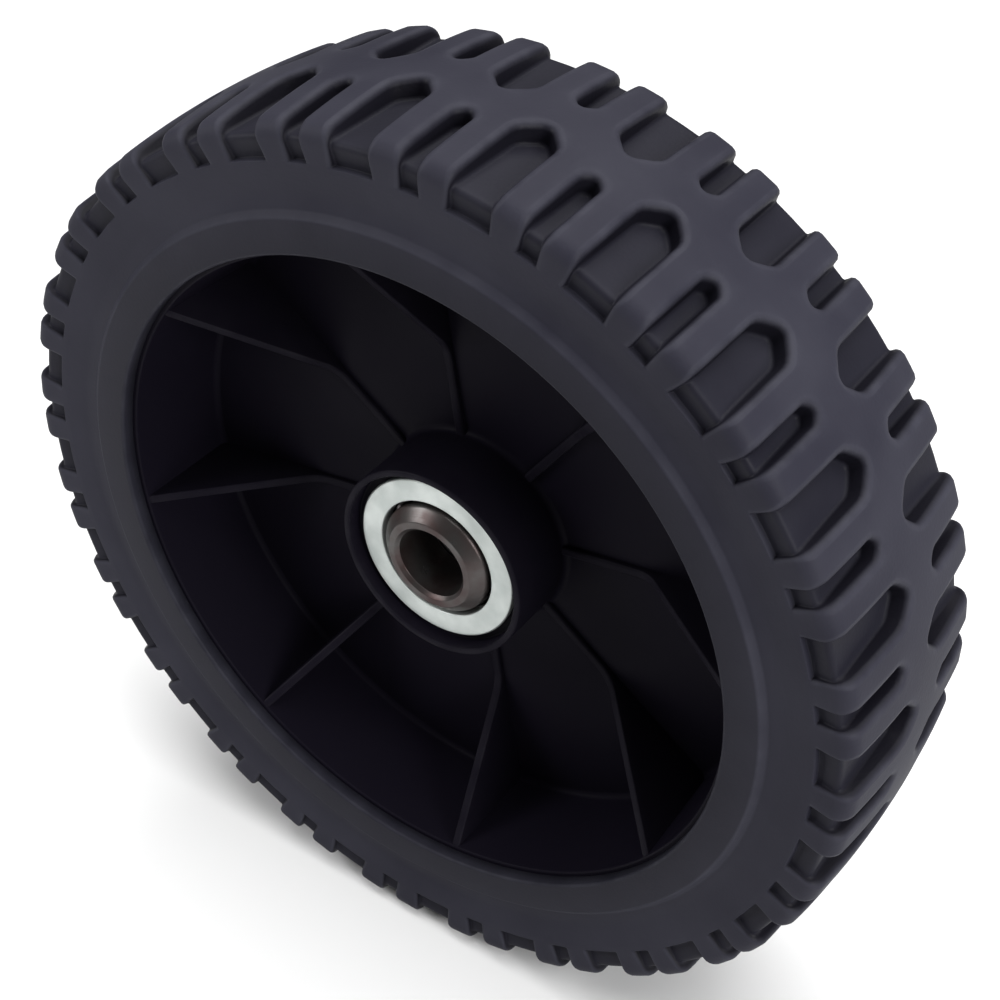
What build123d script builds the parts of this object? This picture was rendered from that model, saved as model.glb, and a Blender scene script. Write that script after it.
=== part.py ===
from build123d import *
from math import asin, pi
import os

# Tiller wheel: a solid rubber tyre on a moulded plastic rim that runs on two flanged ball bearings.
# Millimetres. The origin is the centre of the tread, the axle lies along Y, the open face looks to -Y.

# Tyre, outer sizes and section
tread_diameter = 203.2
tread_width = 50.8
crown_drop = 1.8
shoulder_radius = 2.0
shoulder_height = 7.6
flare_height = 6.2
waist_set_in = 1.8
waist_radius = 8.0
tyre_height = 25.1
bead_height = 5.0
bead_set_in = 0.4
bead_step = 1.3
bead_radius = 0.8
lip_height = 2.4
lip_thickness = 3.0
lip_radius = 0.7

# Tread slots: wide and narrow ones take turns along each row, and the two rows are staggered
slots_per_row = 24
slot_start_angle = 3.6
wide_slot_width = 8.7
wide_slot_tip = 1.9
narrow_slot_width = 3.8
narrow_slot_tip = 7.2
slot_depth = 4.3
slot_set_in = 1.0
slot_bend_radius = 1.0
slot_foot_rise = 0.3
slot_foot_depth = 1.6

# Rim: barrel under the tyre, web, ribs and hub in one moulding
barrel_wall = 3.5
barrel_draft = 0.7
web_thickness = 4.0
web_corner_radius = 1.5
rib_count = 8
rib_start_angle = 8.5
rib_thickness = 2.0
rib_low_height = 1.2
rib_knee_radius = 43.0
rib_set_back = 0.3
hub_recess_gap = 1.75
hub_rim_wall = 1.5
hub_rim_height = 2.3

# Bearings and spacer
axle_diameter = 15.875
axle_clearance = 0.05
hub_length = 38.1
hub_set_in = 11.3
bearing_diameter = 34.925
bearing_width = 12.7
race_stand_out = 2.4
race_end_land = 1.5
race_nose_step = 0.6
race_nose_gap = 0.95
bore_chamfer = 0.8
flange_rim = 1.5875
flange_thickness = 1.6
outer_race_wall = 1.165
ball_diameter = 5.556
ball_clearance = 0.12
ball_spacing = 0.3
land_gap = 1.1
seat_clearance = 0.3
seat_shoulder = 2.4625
spacer_wall = 2.9

# Places along the axle
tread_side = tread_width / 2
bead_face = tread_side - bead_set_in
barrel_end = bead_face - lip_thickness
race_front = hub_set_in - tread_side
hub_middle = race_front + hub_length / 2
spacer_length = hub_length - 2 * bearing_width
flange_back = race_stand_out + flange_thickness
ball_plane = (flange_back + bearing_width) / 2

# Radii that more than one piece or function uses
tread_radius = tread_diameter / 2
shoulder_foot_radius = tread_radius - crown_drop - shoulder_height
barrel_radius = tread_radius - tyre_height
barrel_inside = barrel_radius - barrel_wall
bearing_radius = bearing_diameter / 2
flange_radius = bearing_radius + flange_rim
hub_recess_radius = flange_radius + hub_recess_gap
hub_radius = hub_recess_radius + hub_rim_wall
bore_radius = axle_diameter / 2 + axle_clearance
groove_radius = ball_diameter / 2 + ball_clearance
ball_pitch_radius = bearing_radius - outer_race_wall - groove_radius
inner_land_radius = ball_pitch_radius - land_gap
outer_land_radius = ball_pitch_radius + land_gap
race_nose_radius = inner_land_radius + race_nose_step


def turned(points, rounds):
    """Turns a closed outline of (radius, axial) points about the axle, with some corners rounded."""
    outline = make_face(Polyline(*points, close=True))
    for corner, radius in rounds:
        outline = fillet(outline.vertices().sort_by_distance(Vector(*corner))[0], radius)
    return revolve(outline, Axis.Y)


def mirrored(part, place):
    """Mirrors a part across the plane square to the axle at a given place."""
    return mirror(part, about=Plane.XZ.offset(-place))


def around(part, angle):
    """Turns a part about the axle, counted from +X towards +Z."""
    return Rot(0, -angle, 0) * part


def tyre_body():
    """The tyre without slots: crowned tread, flared shoulders, waist, raised bead and inner lip."""
    shoulder = (tread_radius - crown_drop, tread_side)
    shoulder_foot = (shoulder_foot_radius, tread_side)
    waist = (shoulder_foot_radius - flare_height, tread_side - waist_set_in)
    bead_foot = (barrel_radius + bead_height + bead_step, bead_face - bead_step)
    bead_edge = (barrel_radius + bead_height, bead_face)
    lip_edge = (barrel_radius - lip_height, bead_face)
    lip_back = (barrel_radius - lip_height, barrel_end)
    seat = (barrel_radius, barrel_end)
    side = [shoulder, shoulder_foot, waist, bead_foot, bead_edge, lip_edge, lip_back, seat]
    other_side = [(radius, -axial) for radius, axial in reversed(side)]
    crown = ThreePointArc(other_side[-1], (tread_radius, 0), side[0])
    outline = make_face(Curve() + [crown, Polyline(*side, *other_side)])
    rounds = [(shoulder, shoulder_radius), (waist, waist_radius), (bead_foot, bead_radius),
              (bead_edge, bead_radius), (lip_edge, lip_radius)]
    for (radius, axial), size in rounds:
        for end in (axial, -axial):
            outline = fillet(outline.vertices().sort_by_distance(Vector(radius, end))[0], size)
    return revolve(outline, Axis.Y)


def slot_tool(width, tip):
    """What one slot takes away: a level floor that turns down at the shoulder, leans in along the side
    and ends at a small ledge over the flare, with a pointed end towards the middle of the tread."""
    reach = tread_radius + slot_depth
    beyond = tread_side + slot_depth
    bend = (tread_radius - slot_depth, slot_set_in - tread_side)
    foot = shoulder_foot_radius + slot_foot_rise
    foot_place = slot_foot_depth - tread_side
    section = make_face(Polyline(
        (tread_radius - slot_depth, -tip), bend, (foot, foot_place), (foot, -beyond),
        (reach, -beyond), (reach, -tip), close=True))
    section = fillet(section.vertices().sort_by_distance(Vector(*bend))[0], slot_bend_radius)
    half = width / 2
    plan = Polyline((-tip, 0), (-tip - half, half), (-beyond, half), (-beyond, -half),
                    (-tip - half, -half), close=True)
    column = extrude(Plane.YZ * make_face(plan), amount=reach)
    return extrude(section, amount=width, both=True) & column


def tyre():
    """The tyre with its four sets of slots cut."""
    pitch = 360 / slots_per_row
    wide = slot_tool(wide_slot_width, wide_slot_tip)
    narrow = slot_tool(narrow_slot_width, narrow_slot_tip)
    tools = []
    for step in range(slots_per_row):
        angle = slot_start_angle + pitch * step
        between = angle + pitch / 2
        tools += [around(wide, angle), around(narrow, between)]
        tools += [around(mirrored(wide, 0), between), around(mirrored(narrow, 0), angle)]
    return tyre_body() - tools


def rib(web_face, end):
    """One rib: a low fin along the web that rises in a straight line to the end of the barrel.
    Its web face and barrel end set which side of the wheel it stands on."""
    side = 1 if end > web_face else -1
    low = web_face + side * rib_low_height
    top = end - side * rib_set_back
    root = web_face - side * web_thickness / 2
    inner = hub_radius - hub_rim_wall / 2
    outer = barrel_inside + barrel_wall / 2
    front_height = barrel_end - rib_set_back + hub_middle - web_thickness / 2 - rib_low_height
    slope = front_height / (barrel_inside - rib_knee_radius)
    knee = barrel_inside - abs(top - low) / slope
    outline = make_face(Polyline((inner, root), (inner, low), (knee, low), (barrel_inside, top),
                                 (outer, top), (outer, root), close=True))
    return extrude(outline, amount=rib_thickness / 2, both=True)


def rim():
    """The moulded rim: barrel, web with ribs on both sides, and the hub with its two bearing seats."""
    web_front = hub_middle - web_thickness / 2
    web_back = hub_middle + web_thickness / 2
    hub_front = race_front + race_stand_out - hub_rim_height
    seat_front = race_front + flange_back
    seat_end = race_front + bearing_width + seat_clearance
    bore = bearing_radius - seat_shoulder
    half = [(hub_radius, web_front), (hub_radius, hub_front), (hub_recess_radius, hub_front),
            (hub_recess_radius, seat_front), (bearing_radius, seat_front), (bearing_radius, seat_end),
            (bore, seat_end)]
    other_half = [(radius, 2 * hub_middle - axial) for radius, axial in reversed(half)]
    corners = [(hub_radius, web_front), (barrel_inside - barrel_draft, web_front),
               (barrel_inside - barrel_draft, web_back), (hub_radius, web_back)]
    barrel = [(barrel_inside - barrel_draft, web_back), (barrel_inside, barrel_end),
              (barrel_radius, barrel_end), (barrel_radius, -barrel_end), (barrel_inside, -barrel_end),
              (barrel_inside - barrel_draft, web_front)]
    body = turned(half + other_half + barrel, [(corner, web_corner_radius) for corner in corners])
    ribs = []
    for step in range(rib_count):
        angle = rib_start_angle + 360 / rib_count * step
        ribs += [around(rib(web_front, -barrel_end), angle), around(rib(web_back, barrel_end), angle)]
    return body + ribs


def ball_groove():
    """The ring of space that the balls need, with their clearance, as a ring of round section."""
    return revolve(Location((ball_pitch_radius, ball_plane)) * Circle(groove_radius), Axis.Y)


def outer_race():
    """Flanged outer race, outer end towards -Y, in the place it has behind the end of the inner race."""
    opening = race_nose_radius + race_nose_gap
    points = [(opening, race_stand_out), (flange_radius, race_stand_out), (flange_radius, flange_back),
              (bearing_radius, flange_back), (bearing_radius, bearing_width),
              (outer_land_radius, bearing_width), (outer_land_radius, ball_plane), (opening, ball_plane)]
    return turned(points, []) - ball_groove()


def inner_race():
    """Inner race with its nose: the end starts at y = 0 and the chamfered bore takes the axle."""
    bore_edge = bore_radius + bore_chamfer
    points = [(bore_edge, 0), (bore_edge + race_end_land, 0), (race_nose_radius, race_stand_out),
              (race_nose_radius, flange_back), (inner_land_radius, flange_back),
              (inner_land_radius, bearing_width), (bore_edge, bearing_width),
              (bore_radius, bearing_width - bore_chamfer), (bore_radius, bore_chamfer)]
    return turned(points, []) - ball_groove()


def balls():
    """Full set of balls, as many as the groove takes, evenly spaced."""
    half_angle = asin((ball_diameter + ball_spacing) / 2 / ball_pitch_radius)
    count = int(pi / half_angle)
    ball = Pos(ball_pitch_radius, ball_plane, 0) * Sphere(ball_diameter / 2)
    return Compound([around(ball, 360 / count * step).solid() for step in range(count)])


def spacer():
    """Sleeve that keeps the two inner races apart."""
    outer = bore_radius + spacer_wall
    first = race_front + bearing_width
    last = first + spacer_length
    return turned([(bore_radius, first), (outer, first), (outer, last), (bore_radius, last)], [])


def write(name, part):
    """Writes one piece to its own file."""
    export_step(part, os.path.join("parts", name + ".step"))


os.makedirs("parts", exist_ok=True)
write("tyre", tyre())
write("rim", rim())
write("spacer_sleeve", spacer())
bearing = {"outer_race": outer_race(), "inner_race": inner_race(), "balls": balls()}
for piece, shape in bearing.items():
    placed = Pos(0, race_front, 0) * shape
    write("front_bearing_" + piece, placed)
    write("rear_bearing_" + piece, mirrored(placed, hub_middle))
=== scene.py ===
import math

import bpy
import numpy as np
from bpy.props import FloatProperty, FloatVectorProperty, IntProperty, PointerProperty
from mathutils import Matrix, Vector


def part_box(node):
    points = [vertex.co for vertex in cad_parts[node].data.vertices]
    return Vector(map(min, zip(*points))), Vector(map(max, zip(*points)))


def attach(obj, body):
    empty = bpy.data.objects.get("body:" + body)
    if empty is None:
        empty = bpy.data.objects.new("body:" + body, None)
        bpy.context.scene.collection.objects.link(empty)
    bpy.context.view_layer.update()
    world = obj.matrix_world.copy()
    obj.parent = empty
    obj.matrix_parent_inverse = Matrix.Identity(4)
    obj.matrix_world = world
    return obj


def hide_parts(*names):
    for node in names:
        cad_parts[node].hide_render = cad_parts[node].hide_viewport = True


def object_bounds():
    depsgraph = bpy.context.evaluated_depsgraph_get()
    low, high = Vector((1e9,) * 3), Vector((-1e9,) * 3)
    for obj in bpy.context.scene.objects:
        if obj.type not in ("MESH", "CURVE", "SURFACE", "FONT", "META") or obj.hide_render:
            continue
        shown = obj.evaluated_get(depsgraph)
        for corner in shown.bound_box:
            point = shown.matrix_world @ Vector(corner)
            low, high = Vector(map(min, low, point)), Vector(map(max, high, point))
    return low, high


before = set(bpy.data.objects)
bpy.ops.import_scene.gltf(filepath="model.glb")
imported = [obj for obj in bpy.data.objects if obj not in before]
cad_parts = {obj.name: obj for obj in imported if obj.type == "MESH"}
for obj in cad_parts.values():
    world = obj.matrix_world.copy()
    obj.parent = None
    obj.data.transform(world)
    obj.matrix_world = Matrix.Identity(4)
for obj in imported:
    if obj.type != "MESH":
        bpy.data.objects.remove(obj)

bl_info = {
    "name": "Tiller wheel",
    "version": (1, 0, 0),
    "blender": (4, 5, 0),
    "location": "3D View > Sidebar > Wheel",
    "description": "Dresses the tiller wheel: moulded tyre, ribbed rim and flanged ball bearings",
    "category": "Object",
}

CAD_BOX = [list(corner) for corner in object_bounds()]
MM = 0.001

# Places taken from the model: half sizes of the tyre and the ends of the bearings along the axle
TYRE_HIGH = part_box("tyre")[1]
RIM_LOW, RIM_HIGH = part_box("rim")
RACE_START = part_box("front_bearing_inner_race")[0][1]
RACE_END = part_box("rear_bearing_inner_race")[1][1]
HUB_MIDDLE = (RACE_START + RACE_END) / 2

# Tyre section in millimetres, with set-ins counted from the side of the shoulder
CROWN_END = 20.4
CROWN_POINTS = 13
SHOULDER_STEPS = 10
FLARE_RADIUS, FLARE_SET_IN, FLARE_ROUND = 91.2, 0.9, 6.0
WAIST_RADIUS, WAIST_SET_IN, WAIST_ROUND = 85.6, 2.0, 8.0
BEAD_FOOT_RADIUS, BEAD_FOOT_SET_IN = 82.8, 1.7
BEAD_RADIUS, BEAD_SET_IN, BEAD_ROUND = 81.5, 0.4, 0.8
LIP_RADIUS, LIP_ROUND = 74.1, 0.7
SEAT_RADIUS, SEAT_SET_IN = 76.5, 3.4
SLOT_FLOOR_RUN = 2.0
SLOT_FLOOR_END = 91.0
SLOT_FOOT_RADIUS = 92.5
BAND_RADIUS = 92.12
WELD_STEPS_PER_MM = 1e4

# Slots in millimetres: lines cross half a slot from its middle to the middle of the lug beside it,
# over the floor, the floor's round, the wall, the edge's round and the top
SLOT_LINES = 11
FLOOR_TURNS = np.radians([90.0, 45.0, 0.0])
EDGE_TURNS = np.radians([0.0, 30.0, 60.0, 90.0])
OUTLINE_TURNS = np.radians([0, 22.5, 45, 45, 45, 67.5, 90])
LUG_LINES = {8: 0.14, 9: 0.5, 10: 1.0}
TIP_ROWS = 9
TIP_FAN = np.array([0, 0.33, 0.67, 1])
TIP_ROUND, TIP_ROUND_SHARE, CORNER_ROUND_SHARE = 0.6, 0.25, 0.8
TREAD_ROWS = [12.0, 15.0, 18.0]
LEDGE_LENGTH = 0.36
LEDGE_MARGIN = 0.2
LEDGE_ROWS = np.array([-0.06, 0.06, LEDGE_MARGIN])
FLOOR_TIP_GAP, FLOOR_ROW_GAP = 1.9, 0.4
WALL_DRAFT = 0.15
ROUND_SHARE, LEAST_ROUND = 0.55, 0.2

# Marks that the rubber's finish reads: paler lug edges, partly wear and partly painted highlight, painted
# highlights on the bead and lip edges, and painted shade in the slots and on the bead faces
EDGE_WEAR_AND_HIGHLIGHT = np.array([0, 0, 0, 0, 0, 0.5, 1, 0.8, 0.25, 0, 0])
SLOT_PAINTED_SHADE = np.array([1, 1, 1.3, 1.8, 1.8, 1.3, 0.3, 0, 0, 0, 0])
BEAD_HIGHLIGHT_RADIUS, BEAD_HIGHLIGHT_SPREAD = 82.0, 0.6
LIP_HIGHLIGHT_RADIUS, LIP_HIGHLIGHT_SPREAD = 74.3, 0.25
BEAD_SHADE_FADE = 0.5

# Rim in millimetres, with places along the axle counted from the hub's middle
RIM_TURNS = 288
HUB_BORE, HUB_RECESS, HUB_RADIUS = 15.0, 20.8, 22.3
HUB_SEAT_START, HUB_SEAT_END = 15.05, 6.05
WEB_HALF, WEB_ROUND = 2.0, 1.5
BARREL_ROOT, BARREL_INSIDE, BARREL_OUTSIDE = 72.3, 73.0, 76.45
RIB_INNER, RIB_TOP_START, RIB_OUTER = 21.6, 72.9, 75.0
RIB_FOOT, RIB_LOW, RIB_SET_BACK = 1.0, 3.2, 0.3
RIB_KNEE, RIB_KNEE_ROUND, RIB_TOP_ROUND = 43.0, 9.0, 1.2
RIB_DRAFT = 0.012
# Marks for painted highlights along the ribs' top edges and near the hub's end edges
RIB_EDGE_HIGHLIGHT = np.array([0, 0.3, 1, 1, 0.5, 0.5, 1, 1, 0.3, 0])
HUB_HIGHLIGHT_LIMIT, HUB_HIGHLIGHT_SPREAD = 23.0, 0.5

# Bearings in millimetres, with places along the axle counted from the outer end of the inner race
BALL_RADIUS, BALL_PITCH, BALL_PLANE = 2.778, 13.4, 8.35
BALL_STEPS = 8
GROOVE_RADIUS, GROOVE_LAND, GROOVE_POINTS = 2.898, 1.1, 13
BEARING_RADIUS, BEARING_WIDTH = 17.46, 12.7
FLANGE_RADIUS, FLANGE_MIDDLE, FLANGE_FRONT, FLANGE_BACK = 19.05, 18.2, 2.4, 4.0
OPENING_RADIUS, OPENING_END, OUTER_LAND = 13.85, 5.49, 14.5
NOSE_RADIUS, NOSE_END_RADIUS, INNER_LAND = 12.9, 10.29, 12.3
BORE_RADIUS, BORE_EDGE, BORE_CHAMFER, BORE_MIDDLE = 7.9875, 8.79, 0.8, 6.0
SLEEVE_RADIUS, SLEEVE_END = 10.89, 25.4
OUTER_RACE_TURNS, INNER_RACE_TURNS, SLEEVE_TURNS = 144, 120, 96

# Stage in metres: place and size of each lamp, and the floor's reach to each side
LAMPS = {"overhead": ((0.10, 0.30, 1.4), 1.8), "left_window": ((-0.33, -0.24, 0.24), 0.22),
         "right_window": ((0.75, -0.22, 0.35), 0.40)}
FLOOR_REACH = 6.0
SENSOR_WIDTH = 36.0
CLIP_START = 0.01


# Property groups


class TyreSettings(bpy.types.PropertyGroup):
    """Sizes of the tyre's section and slots, and the colours of its rubber."""

    tread_radius: FloatProperty(
        name="Tread radius", description="From the axle to the middle of the tread",
        default=TYRE_HIGH[0], unit="LENGTH")
    half_width: FloatProperty(
        name="Half width", description="From the middle of the tread to the side of the shoulder",
        default=TYRE_HIGH[1], unit="LENGTH")
    crown_drop: FloatProperty(
        name="Crown drop", description="How far the tread falls from its middle to its edge",
        default=1.8 * MM, unit="LENGTH")
    slot_depth: FloatProperty(
        name="Slot depth", description="Depth of the slots in the tread", default=4.3 * MM, unit="LENGTH")
    slots_per_row: IntProperty(
        name="Slots per row", description="Wide slots in one row, with as many narrow ones between",
        default=24)
    slot_start: FloatProperty(
        name="First slot", description="Angle of the first wide slot of the open side",
        default=math.radians(3.6), subtype="ANGLE")
    wide_half: FloatProperty(
        name="Wide slot half width", description="Half the width of a wide slot",
        default=4.35 * MM, unit="LENGTH")
    wide_tip: FloatProperty(
        name="Wide slot tip", description="Where a wide slot ends, from the middle of the tread",
        default=1.9 * MM, unit="LENGTH")
    narrow_half: FloatProperty(
        name="Narrow slot half width", description="Half the width of a narrow slot",
        default=1.9 * MM, unit="LENGTH")
    narrow_tip: FloatProperty(
        name="Narrow slot tip", description="Where a narrow slot ends, from the middle of the tread",
        default=7.2 * MM, unit="LENGTH")
    slot_set_in: FloatProperty(
        name="Slot set-in", description="From the side of the shoulder to a slot's floor at its bend",
        default=1.0 * MM, unit="LENGTH")
    foot_set_in: FloatProperty(
        name="Slot foot set-in", description="From the side of the shoulder to a slot's floor at its foot",
        default=2.2 * MM, unit="LENGTH")
    floor_bend: FloatProperty(
        name="Slot floor bend", description="Radius where a slot's floor turns down at the shoulder",
        default=1.0 * MM, unit="LENGTH")
    shoulder_round: FloatProperty(
        name="Shoulder round", description="Radius of the tread's shoulders",
        default=3.2 * MM, unit="LENGTH")
    edge_round: FloatProperty(
        name="Lug edge round", description="Radius of the lug edges", default=1.4 * MM, unit="LENGTH")
    floor_round: FloatProperty(
        name="Slot floor round", description="Radius where a slot's wall meets its floor",
        default=0.8 * MM, unit="LENGTH")
    rubber: FloatVectorProperty(
        name="Rubber", description="Colour of the rubber", default=(0.0162, 0.0158, 0.0236), subtype="COLOR")
    # Paler rubber: random cloudy tone, lug edges that are partly wear and partly painted highlight, and
    # painted highlights on the bead and lip edges
    rubber_worn: FloatVectorProperty(
        name="Rubber wear and highlight", description="Colour of rubbed edges", default=(0.042, 0.042, 0.054),
        subtype="COLOR")
    # Darker rubber as painted shade in the slots and on the bead faces
    rubber_clean: FloatVectorProperty(
        name="Rubber painted shade", description="Colour of the slots and beads, which no hand or dust has dulled",
        default=(0.0046, 0.0043, 0.0068), subtype="COLOR")


class RimSettings(bpy.types.PropertyGroup):
    """Sizes of the rim's ribs and edges, and the colours of its plastic."""

    rib_count: IntProperty(name="Ribs", description="Ribs on each side of the web", default=8)
    rib_start: FloatProperty(
        name="First rib", description="Angle of the first rib", default=math.radians(8.5), subtype="ANGLE")
    rib_thickness: FloatProperty(
        name="Rib thickness", description="Thickness of a rib at its top", default=2.0 * MM, unit="LENGTH")
    rib_round: FloatProperty(
        name="Rib edge round", description="Radius of a rib's top edges", default=0.55 * MM, unit="LENGTH")
    plastic: FloatVectorProperty(
        name="Plastic", description="Colour of the black moulding", default=(0.0050, 0.0042, 0.0075),
        subtype="COLOR")
    # Paler plastic as painted highlight along the rib and hub edges
    plastic_worn: FloatVectorProperty(
        name="Plastic highlight", description="Colour of rubbed edges", default=(0.011, 0.010, 0.014),
        subtype="COLOR")


class BearingSettings(bpy.types.PropertyGroup):
    """Edge rounds of the bearings and the colours of their steels."""

    flange_round: FloatProperty(
        name="Flange edge round", description="Radius of the pressed flange's edges",
        default=0.35 * MM, unit="LENGTH")
    race_round: FloatProperty(
        name="Race edge round", description="Radius of the inner race's edges",
        default=0.6 * MM, unit="LENGTH")
    ball_count: IntProperty(name="Balls", description="Balls in one bearing", default=14)
    zinc: FloatVectorProperty(
        name="Zinc", description="Colour of the plated flange", default=(0.54, 0.575, 0.555),
        subtype="COLOR")
    zinc_dull: FloatVectorProperty(
        name="Dull zinc", description="Colour of the dull patches of the plating",
        default=(0.41, 0.445, 0.43), subtype="COLOR")
    race: FloatVectorProperty(
        name="Race steel", description="Colour of the inner race", default=(0.080, 0.080, 0.078),
        subtype="COLOR")
    oil: FloatVectorProperty(
        name="Oil film", description="Brownish colour of the oil film", default=(0.045, 0.027, 0.026),
        subtype="COLOR")
    ball: FloatVectorProperty(
        name="Ball steel", description="Colour of the balls", default=(0.22, 0.22, 0.23), subtype="COLOR")
    sleeve: FloatVectorProperty(
        name="Sleeve steel", description="Colour of the drawn sleeve", default=(0.33, 0.33, 0.34),
        subtype="COLOR")


class StageSettings(bpy.types.PropertyGroup):
    """Camera, light and floor."""

    azimuth: FloatProperty(
        name="Azimuth", description="Camera's turn from the open face", default=math.radians(34.677),
        subtype="ANGLE")
    elevation: FloatProperty(
        name="Elevation", description="Camera's height over the horizon", default=math.radians(38.642),
        subtype="ANGLE")
    distance: FloatProperty(
        name="Distance", description="From the camera to the wheel's middle",
        default=0.372379, unit="LENGTH")
    shift_right: FloatProperty(
        name="Aim right", description="How far the camera stands to the right of its aim",
        default=0.006593, unit="LENGTH")
    shift_up: FloatProperty(
        name="Aim up", description="How far the camera stands above its aim",
        default=0.006132, unit="LENGTH")
    lens: FloatProperty(
        name="Lens", description="Focal length on a 36 mm wide sensor",
        default=63.983, subtype="DISTANCE_CAMERA")
    floor: FloatVectorProperty(
        name="Floor", description="Colour of the pale floor", default=(0.68, 0.68, 0.68), subtype="COLOR")
    room: FloatProperty(name="Room", description="Strength of the white surroundings", default=0.15)
    overhead: FloatProperty(
        name="Overhead light", description="Power of the light above", default=48.0, subtype="POWER")
    left_window: FloatProperty(
        name="Left light", description="Power of the light at the left", default=1.3, subtype="POWER")
    right_window: FloatProperty(
        name="Right light", description="Power of the light at the right", default=7.0, subtype="POWER")


# Meshes


def grid_faces(rows, columns, close_rows, close_columns):
    """Quads over a grid of points kept row by row: each joins a point with the next along both
    parameters, and a closed parameter runs back to its start."""
    row = np.arange(rows if close_rows else rows - 1)[:, None]
    column = np.arange(columns if close_columns else columns - 1)[None, :]
    next_row = (row + 1) % rows
    next_column = (column + 1) % columns
    quads = [row * columns + column, row * columns + next_column,
             next_row * columns + next_column, next_row * columns + column]
    return np.stack(np.broadcast_arrays(*quads), -1).reshape(-1, 4)


def rounded(corners):
    """An outline in two parameters from corners (a, b, radius, steps): each corner with a radius gives
    way to an arc that touches both of its sides. The ends of the list stay as they are."""
    points = []
    for k, (a, b, radius, steps) in enumerate(corners):
        here = np.array((a, b), float)
        if radius == 0 or k in (0, len(corners) - 1):
            points.append(here[None])
            continue
        back = np.array(corners[k - 1][:2]) - here
        ahead = np.array(corners[k + 1][:2]) - here
        back /= np.linalg.norm(back)
        ahead /= np.linalg.norm(ahead)
        half = math.acos(float(np.clip(back @ ahead, -1, 1))) / 2
        middle = (back + ahead) / np.linalg.norm(back + ahead)
        centre = here + middle * radius / math.sin(half)
        first = here + back * radius / math.tan(half) - centre
        last = here + ahead * radius / math.tan(half) - centre
        share = np.linspace(0, 1, steps + 1)[:, None]
        arc = math.pi - 2 * half
        bend = np.sin((1 - share) * arc) * first + np.sin(share * arc) * last
        points.append(centre + bend / math.sin(arc))
    return np.concatenate(points)


def along(line):
    """Length along a line of points, from its start to each point."""
    return np.concatenate([[0.0], np.cumsum(np.linalg.norm(np.diff(line, axis=0), axis=1))])


def turned(outline, count):
    """A closed outline of (radius, axial) points carried round the axle: the point at angle t is
    (radius cos t, axial, radius sin t)."""
    angle = np.linspace(0, 2 * math.pi, count, endpoint=False)[:, None]
    radius, axial = outline[None, :, 0], outline[None, :, 1]
    points = np.stack(np.broadcast_arrays(radius * np.cos(angle), axial, radius * np.sin(angle)), -1)
    return points.reshape(-1, 3), grid_faces(count, len(outline), True, True)


def signed_volume(points, faces):
    """Six times the volume inside quads: positive when they face outwards."""
    a, b, c, d = (points[faces[:, k]] for k in range(4))
    return float(np.einsum("ij,ij->i", a, np.cross(b, c) + np.cross(c, d)).sum())


def outward(points, faces):
    """The same quads, turned over if they face inwards."""
    return faces if signed_volume(points, faces) > 0 else faces[:, ::-1]


def smooth_normals(points, faces):
    """Normals at the points: the sum of the area vectors of the quads that meet there, so that wide flat
    faces keep their own direction and the narrow rounds between them carry the turn."""
    a, b, c, d = (points[faces[:, k]] for k in range(4))
    area = np.cross(c - a, d - b)
    corner = faces.ravel()
    normal = np.stack([np.bincount(corner, np.repeat(area[:, k], 4), len(points)) for k in range(3)], -1)
    return normal / np.linalg.norm(normal, axis=1, keepdims=True)


def hump(values, middle, spread):
    """A mark that is 1 at the middle and falls off as exp(-((value - middle) / spread)^2)."""
    return np.exp(-((values - middle) / spread) ** 2)


def new_piece(name, points, faces, marks=None):
    """A smooth-shaded mesh object at the origin from points in metres, quads and point marks."""
    old = bpy.data.objects.get(name)
    if old:
        bpy.data.objects.remove(old)
    mesh = bpy.data.meshes.new(name)
    mesh.vertices.add(len(points))
    mesh.vertices.foreach_set("co", np.ascontiguousarray(points, np.float32).ravel())
    mesh.loops.add(faces.size)
    mesh.loops.foreach_set("vertex_index", np.ascontiguousarray(faces, np.int32).ravel())
    mesh.polygons.add(len(faces))
    mesh.polygons.foreach_set("loop_start", np.arange(0, faces.size, 4, dtype=np.int32))
    mesh.polygons.foreach_set("loop_total", np.full(len(faces), 4, np.int32))
    mesh.polygons.foreach_set("use_smooth", np.ones(len(faces), bool))
    mesh.update(calc_edges=True)
    if mesh.validate():
        raise RuntimeError(name + " has faulty faces")
    mesh.normals_split_custom_set_from_vertices(smooth_normals(points, faces))
    for mark, values in (marks or {}).items():
        layer = mesh.attributes.new(mark, "FLOAT", "POINT")
        layer.data.foreach_set("value", np.ascontiguousarray(values, np.float32))
    piece = bpy.data.objects.new(name, mesh)
    bpy.context.scene.collection.objects.link(piece)
    return piece


# Tyre


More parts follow.
